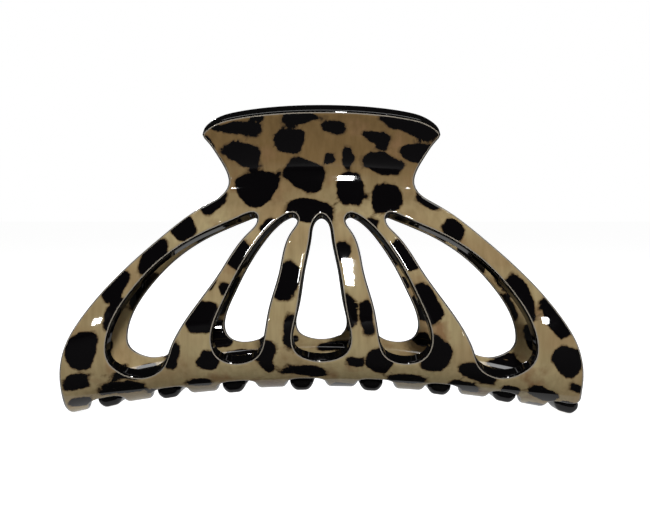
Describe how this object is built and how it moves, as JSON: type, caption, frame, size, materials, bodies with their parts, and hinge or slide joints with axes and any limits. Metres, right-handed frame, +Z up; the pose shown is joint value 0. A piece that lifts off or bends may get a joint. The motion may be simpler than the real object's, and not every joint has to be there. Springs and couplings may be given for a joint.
{
  "type": "hair claw clip",
  "caption": "Sprung claw clip: two bowed, slotted jaws with interlocking curved teeth and flared finger tabs on one hinge pin.",
  "frame": {"origin": "on the ground under the middle of the closed clip", "axes": "+X along the clip and its hinge pin, +Z up from the teeth to the finger tabs, the front jaw towards -Y"},
  "size_m": [0.1098, 0.0404, 0.0653],
  "materials": {
    "black_core": "polished black sheet",
    "spotted_face": "tan with dark brown-black spots under a clear gloss",
    "steel": "bright drawn steel"
  },
  "bodies": {
    "back_half": {"back_jaw": "black_core", "back_outer_ply": "spotted_face", "back_inner_ply": "spotted_face", "back_ear_inner": "black_core", "back_ear_outer": "black_core", "hinge_pin": "steel", "torsion_spring": "steel"},
    "front_half": {"front_jaw": "black_core", "front_outer_ply": "spotted_face", "front_inner_ply": "spotted_face", "front_ear_inner": "black_core", "front_ear_outer": "black_core"}
  },
  "joints": [
    {"name": "jaw_hinge", "type": "hinge", "parent": "back_half", "child": "front_half", "pos_m": [0, 0, 0.049], "axis": [-1, 0, 0], "range_deg": [0, 72], "stiffness_Nm_per_rad": 0.12, "springref_deg": -28.65, "deforming": ["torsion_spring"]}
  ]
}
